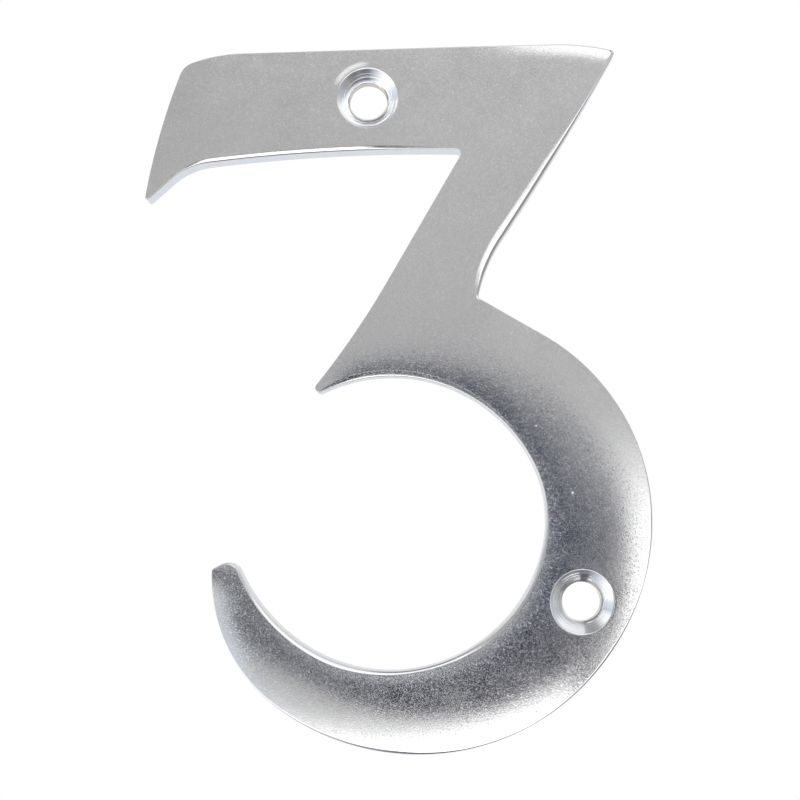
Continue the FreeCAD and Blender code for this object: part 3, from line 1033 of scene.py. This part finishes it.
def soft_ellipse(bench, right, up, shape):
    """A mask over one soft-edged, turned ellipse of mirrored directions."""
    centre_right, centre_up, half_width, half_height, softness, turn, _ = shape
    off_right = bench.less(right, centre_right)
    off_up = bench.less(up, centre_up)
    along = bench.add(bench.times(off_right, math.cos(turn)), bench.times(off_up, math.sin(turn)))
    over = bench.less(bench.times(off_up, math.cos(turn)), bench.times(off_right, math.sin(turn)))
    squares = bench.add(
        bench.work_out("POWER", bench.work_out("ABSOLUTE", bench.over(along, half_width)), 2.0),
        bench.work_out("POWER", bench.work_out("ABSOLUTE", bench.over(over, half_height)), 2.0),
    )
    return bench.ramp(bench.work_out("SQRT", squares), 1 - softness, 1 + softness, 1.0, 0.0, smooth=True)


def blend_colour(bench, mask, under, over):
    """One colour laid over another where the mask is 1."""
    made = bench.tree.nodes.new("ShaderNodeMix")
    made.data_type = "RGBA"
    factor, first, second = made.inputs[0], made.inputs[6], made.inputs[7]
    for value, socket in ((mask, factor), (under, first), (over, second)):
        bench.join((*value, 1) if isinstance(value, tuple) else value, socket)
    return made.outputs[2]


def colour_round(bench, turned, stations):
    """Colour by bearing, where turned runs from 0 at the left, below and round to 1."""
    ramp = bench.node("ShaderNodeValToRGB", Fac=turned)
    stops = ramp.color_ramp.elements
    while len(stops) < len(stations):
        stops.new(0.5)
    for stop, (bearing, colour) in zip(stops, stations):
        stop.position = (bearing + 180) / 360
        stop.color = (*colour, 1)
    return ramp.outputs[0]


def surround_colour(bench, toward):
    """Colour of what stands round the plate, by bearing, in bands from front to back."""
    turned = bench.work_out("ARCTAN2", toward.outputs[2], toward.outputs[0])
    colour = colour_round(bench, bench.ramp(turned, -math.pi, math.pi), BESIDE)
    bands = bench.node(
        "ShaderNodeTexNoise", {"noise_dimensions": "1D"}, W=toward.outputs[1], Scale=16.0, Detail=1.0
    )
    shade = bench.ramp(bands.outputs[0], 0.35, 0.6, 0.75, 1.05)
    return blend_colour(bench, shade, (0.0, 0.0, 0.0), colour)


def make_world():
    """Soft studio surroundings: what the metal mirrors, and plain white for the camera."""
    world = bpy.data.worlds.new("studio")
    bpy.context.scene.world = world
    world.use_nodes = True
    bench = Bench(world.node_tree)
    direction = world.node_tree.nodes.new("ShaderNodeTexCoord").outputs["Generated"]
    toward = bench.node("ShaderNodeSeparateXYZ", Vector=direction)
    ahead = bench.work_out("MAXIMUM", bench.times(toward.outputs[1], -1.0), 0.05)
    right = bench.over(toward.outputs[0], ahead)
    up = bench.over(toward.outputs[2], ahead)
    table = TABLE_LIGHT
    below = bench.less(bench.add(bench.times(right, table["tilt"]), table["edge"]), up)
    below = bench.ramp(below, -table["softness"] / 2, table["softness"] / 2, smooth=True)
    window = WINDOW_LIGHT
    beside = bench.less(bench.less(right, window["edge"]), bench.times(up, window["tilt"]))
    beside = bench.ramp(beside, -window["softness"] / 2, window["softness"] / 2, smooth=True)
    under_top = bench.ramp(
        bench.less(window["top"], up), -window["top_softness"] / 2, window["top_softness"] / 2, smooth=True
    )
    far_corner = bench.ramp(bench.less(up, bench.times(right, 0.35)), 0.33, 0.46)
    colour = blend_colour(bench, far_corner, (WALL_LIGHT,) * 3, (WALL_SHADE,) * 3)
    colour = blend_colour(bench, below, colour, (table["level"],) * 3)
    colour = blend_colour(bench, bench.times(beside, under_top), colour, (window["level"],) * 3)
    for shape in SHAPES:
        colour = blend_colour(bench, soft_ellipse(bench, right, up, shape), colour, shape[-1])
    panel = PANEL_LIGHT
    half_soft = panel["softness"] / 2
    over = bench.ramp(up, panel["above"] - half_soft, panel["above"] + half_soft, smooth=True)
    aside = bench.ramp(right, panel["end"] - panel["softness"], panel["end"] + panel["softness"], smooth=True)
    colour = blend_colour(bench, bench.times(over, aside), colour, (panel["level"],) * 3)
    wide = bench.ramp(toward.outputs[1], -0.78, -0.56, smooth=True)
    colour = blend_colour(bench, wide, colour, surround_colour(bench, toward))
    behind = bench.ramp(toward.outputs[1], 0.35, 0.6, smooth=True)
    light = world.node_tree.nodes.new("ShaderNodeLightPath").outputs
    mirrored = bench.work_out("MAXIMUM", light["Is Glossy Ray"], light["Is Transmission Ray"])
    colour = blend_colour(bench, bench.times(mirrored, behind), colour, (BEHIND_LIGHT,) * 3)
    colour = blend_colour(bench, light["Is Camera Ray"], colour, (1.0, 1.0, 1.0))
    world.node_tree.links.new(colour, world.node_tree.nodes["Background"].inputs["Color"])


FLOOR_LEVEL = -0.14
FLOOR_SIZE = 1.2


def make_floor():
    """A pale floor well below the number, which keeps its shadow and fades into the white beyond. The metal
    mirrors the white studio table instead, which belongs to the surroundings."""
    material = bpy.data.materials.new("pale_floor")
    material.use_nodes = True
    tree = material.node_tree
    bench = Bench(tree)
    shader = tree.nodes["Principled BSDF"]
    shader.inputs["Base Color"].default_value = (0.92, 0.92, 0.92, 1)
    shader.inputs["Roughness"].default_value = 0.9
    place = tree.nodes.new("ShaderNodeTexCoord").outputs["Object"]
    far = bench.ramp(bench.length(place), 0.15, 0.5, smooth=True)
    light = tree.nodes.new("ShaderNodeLightPath").outputs
    seen = bench.times(light["Is Camera Ray"], bench.ramp(far, 0.0, 1.0, 0.6, 1.0))
    glow = bench.node("ShaderNodeEmission", Color=(1, 1, 1, 1), Strength=1.0)
    mixed = bench.node("ShaderNodeMixShader", at_0=seen, at_1=shader.outputs[0], at_2=glow.outputs[0])
    mirrored = bench.work_out("MAXIMUM", light["Is Glossy Ray"], light["Is Transmission Ray"])
    clear = tree.nodes.new("ShaderNodeBsdfTransparent")
    passed = bench.node("ShaderNodeMixShader", at_0=mirrored, at_1=mixed.outputs[0], at_2=clear.outputs[0])
    tree.links.new(passed.outputs[0], tree.nodes["Material Output"].inputs["Surface"])
    mesh = bpy.data.meshes.new("floor")
    half = FLOOR_SIZE / 2
    corners = [(-half, -half, 0), (half, -half, 0), (half, half, 0), (-half, half, 0)]
    mesh.from_pydata(corners, [], [(0, 1, 2, 3)])
    mesh.materials.append(material)
    floor = bpy.data.objects.new("floor", mesh)
    floor.location = (0, 0, FLOOR_LEVEL)
    bpy.context.scene.collection.objects.link(floor)


make_camera()
make_world()
make_floor()
make_numeral()
bpy.context.scene.view_settings.view_transform = "Standard"
